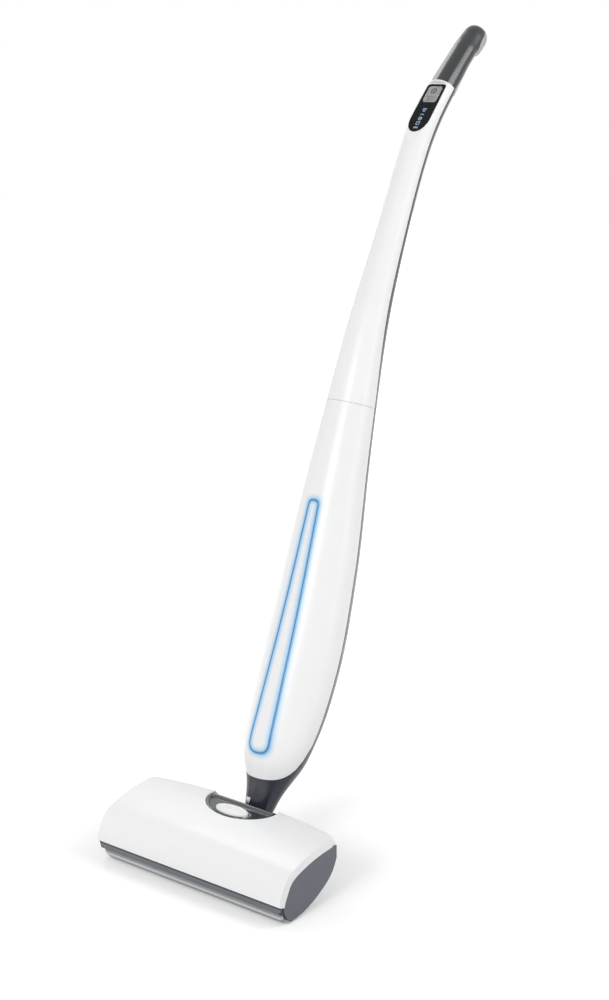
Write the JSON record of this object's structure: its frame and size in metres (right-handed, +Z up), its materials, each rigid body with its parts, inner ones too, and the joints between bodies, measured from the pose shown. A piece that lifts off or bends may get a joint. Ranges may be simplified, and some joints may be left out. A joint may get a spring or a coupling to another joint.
{
  "type": "cordless roller floor washer",
  "caption": "Upright cordless hard-floor washer: wide low head with a driven wet roller, two-way neck joint, tapering stick with a light ring, control panel and grip.",
  "frame": {"origin": "on the floor, under the middle of the head's width, 15 mm behind the roller's line of contact", "axes": "+Z up, +X along the head's width, -Y the way the head faces; the stick leans back towards +Y"},
  "size_m": [0.33, 0.6781, 1.1361],
  "materials": {
    "white_gloss": "gloss",
    "dark_grey": "satin",
    "mid_grey": "satin",
    "grip_grey": "gloss",
    "grip_soft": "matte",
    "lip_clear": "satin",
    "light_blue": "gloss",
    "panel_black": "gloss",
    "button_silver": "satin",
    "clip_steel": "satin",
    "motor_steel": "satin",
    "cast_grey": "matte",
    "microfibre": "matte",
    "black_plastic": "matte",
    "black_rubber": "matte",
    "tank_plastic": "gloss",
    "cell_can": "satin",
    "pump_body": "satin",
    "board_green": "satin"
  },
  "bodies": {
    "head": {"head_chassis": "dark_grey", "top_cover": "white_gloss", "end_cap_left": "mid_grey", "end_cap_right": "mid_grey", "front_lip": "lip_clear", "chassis_screws": "clip_steel", "button_bezel": "dark_grey", "release_spring": "clip_steel", "latch_plate": "black_plastic", "roller_bushes": "black_plastic", "drive_motor": "motor_steel", "motor_clamp": "black_plastic", "drive_belt": "black_rubber", "dirty_water_tank": "tank_plastic", "wiper_blade": "black_rubber", "spray_bar": "black_plastic", "hinge_bracket": "cast_grey", "pivot_pin": "clip_steel", "wheel_axles": "clip_steel"},
    "roller": {"roller_core": "clip_steel", "roller_sleeve": "microfibre", "roller_discs": "black_plastic", "roller_axle": "clip_steel", "roller_pulley": "black_plastic"},
    "motor_rotor": {"motor_pulley": "black_plastic", "motor_shaft": "clip_steel"},
    "button": {"release_button": "white_gloss"},
    "latch": {"release_latch": "black_plastic"},
    "left_wheel": {"wheel_hub_left": "black_plastic", "wheel_tyre_left": "black_rubber"},
    "right_wheel": {"wheel_hub_right": "black_plastic", "wheel_tyre_right": "black_rubber"},
    "neck": {"neck_knuckle": "dark_grey", "retaining_ring": "clip_steel"},
    "stick": {"front_shell_lower": "white_gloss", "front_shell_upper": "white_gloss", "rear_shell_lower": "dark_grey", "rear_shell_upper": "dark_grey", "light_ring": "light_blue", "light_window": "white_gloss", "grip_shell": "grip_grey", "grip_insert": "grip_soft", "neck_clip": "clip_steel", "control_panel": "panel_black", "power_switch": "black_plastic", "display_board": "board_green", "battery_holder": "black_plastic", "battery_cells": "cell_can", "clean_water_tank": "tank_plastic", "tank_cap": "black_plastic", "water_pipe": "tank_plastic", "water_pump": "pump_body", "main_board": "board_green", "light_strip": "board_green", "charge_socket": "black_plastic", "stick_screws": "clip_steel"},
    "power_key": {"power_button": "button_silver"}
  },
  "joints": [
    {"name": "neck_tilt", "type": "hinge", "parent": "head", "child": "neck", "pos_m": [0, 0.088, 0.052], "axis": [-1, 0, 0], "range_deg": [-18, 45]},
    {"name": "neck_swivel", "type": "hinge", "parent": "neck", "child": "stick", "pos_m": [0, 0.088, 0.052], "axis": [0, 0.3502, 0.9367], "range_deg": [-35, 35]},
    {"name": "roller_spin", "type": "hinge", "parent": "head", "child": "roller", "pos_m": [0, -0.015, 0.028], "axis": [1, 0, 0], "continuous": true},
    {"name": "motor_spin", "type": "hinge", "parent": "head", "child": "motor_rotor", "pos_m": [-0.12, 0.041, 0.06], "axis": [1, 0, 0], "continuous": true},
    {"name": "left_wheel_spin", "type": "hinge", "parent": "head", "child": "left_wheel", "pos_m": [-0.049, 0.118, 0.015], "axis": [1, 0, 0], "continuous": true},
    {"name": "right_wheel_spin", "type": "hinge", "parent": "head", "child": "right_wheel", "pos_m": [0.049, 0.118, 0.015], "axis": [1, 0, 0], "continuous": true},
    {"name": "release_press", "type": "slide", "parent": "head", "child": "button", "axis": [0, 0, -1], "range_m": [0, 0.003], "stiffness_N_per_m": 800, "springref_m": -0.002, "deforming": ["release_spring"]},
    {"name": "latch_slide", "type": "slide", "parent": "head", "child": "latch", "axis": [0, -1, 0], "range_m": [0, 0.003]},
    {"name": "power_press", "type": "slide", "parent": "stick", "child": "power_key", "axis": [0, 0.7133, -0.7009], "range_m": [0, 0.0012], "stiffness_N_per_m": 1500, "springref_m": -0.001}
  ],
  "couplings": [
    {"joint": "motor_spin", "follows": "roller_spin", "ratio": 2.5},
    {"joint": "latch_slide", "follows": "release_press", "ratio": 1}
  ]
}
